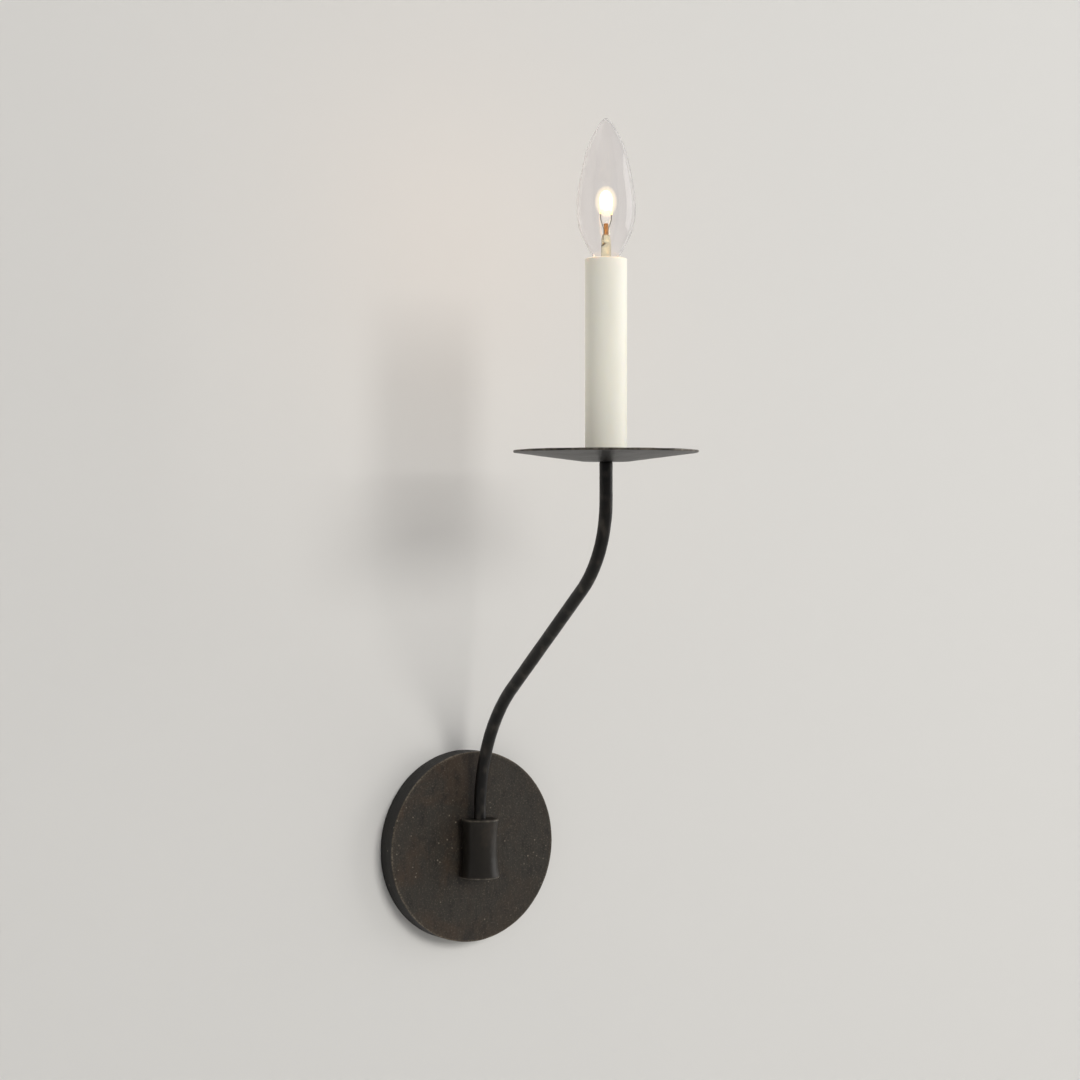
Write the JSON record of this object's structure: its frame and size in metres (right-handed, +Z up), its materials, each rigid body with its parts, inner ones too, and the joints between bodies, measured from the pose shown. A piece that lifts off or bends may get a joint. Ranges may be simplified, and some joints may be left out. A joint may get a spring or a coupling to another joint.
{
  "type": "wall sconce",
  "caption": "Wall sconce with a round plate, waisted boss, slim S-curved iron arm, shallow drip pan and ivory candle sleeve around a lampholder with a clear candle-shaped lamp.",
  "frame": {"origin": "centre of the wall plate on the wall plane", "axes": "+Z up; +Y into the wall, so the arm reaches out along -Y; +X to the viewer's right"},
  "size_m": [0.114, 0.199, 0.473],
  "materials": {
    "plate_iron": "aged dark bronze iron, stained, satin, worn bright at the edge",
    "black_iron": "blackened iron, satin",
    "zinc_steel": "zinc-plated steel",
    "ivory_sleeve": "ivory, eggshell",
    "clear_glass": "clear, polished",
    "glowing_filament": "glowing coil",
    "nickel_wire": "drawn wire",
    "lamp_brass": "pressed brass",
    "solder": "dull solder",
    "black_moulding": "moulded, semi-gloss",
    "white_moulding": "moulded nylon",
    "black_insulation": "wire insulation",
    "white_insulation": "wire insulation",
    "green_insulation": "wire insulation",
    "fibre_paper": "waxed fibre tube"
  },
  "bodies": {
    "fixture": {"wall_plate": "plate_iron", "boss": "black_iron", "arm": "black_iron", "pan": "black_iron", "mounting_strap": "zinc_steel", "plate_set_screws": "black_iron", "boss_screws": "zinc_steel", "arm_set_screw": "zinc_steel", "ground_screw": "zinc_steel", "ground_lug": "zinc_steel", "block_screw": "zinc_steel", "wire_bushing": "white_moulding", "terminal_block": "white_moulding", "terminal_barrels": "lamp_brass", "clamp_screws": "zinc_steel", "lead_black": "black_insulation", "lead_white": "white_insulation", "lead_ground": "green_insulation", "lock_washer": "zinc_steel", "pan_nut": "zinc_steel", "socket_bracket": "zinc_steel", "bracket_rivet": "lamp_brass", "lampholder": "black_moulding", "shell_terminal": "lamp_brass", "contact_terminal": "lamp_brass", "terminal_screws": "zinc_steel", "socket_liner": "fibre_paper", "socket_shell": "lamp_brass", "socket_contact": "lamp_brass"},
    "sleeve": {"candle_sleeve": "ivory_sleeve"},
    "lamp_tip": {"bulb_contact": "solder"},
    "lamp": {"bulb_shell": "lamp_brass", "bulb_insulator": "black_moulding", "bulb_glass": "clear_glass", "bulb_stem": "clear_glass", "filament_supports": "nickel_wire", "filament": "glowing_filament"}
  },
  "joints": [
    {"name": "sleeve_lift", "type": "slide", "parent": "fixture", "child": "sleeve", "axis": [0, 0, 1], "range_m": [0, 0.0045]},
    {"name": "bulb_rise", "type": "slide", "parent": "fixture", "child": "lamp_tip", "axis": [0, 0, 1], "range_m": [0, 0.01016]},
    {"name": "bulb_turn", "type": "hinge", "parent": "lamp_tip", "child": "lamp", "pos_m": [0, -0.148, 0.32], "axis": [0, 0, 1], "range_deg": [0, 1440]}
  ],
  "couplings": [
    {"joint": "bulb_rise", "follows": "bulb_turn", "m_per_rad": 0.00040425}
  ]
}
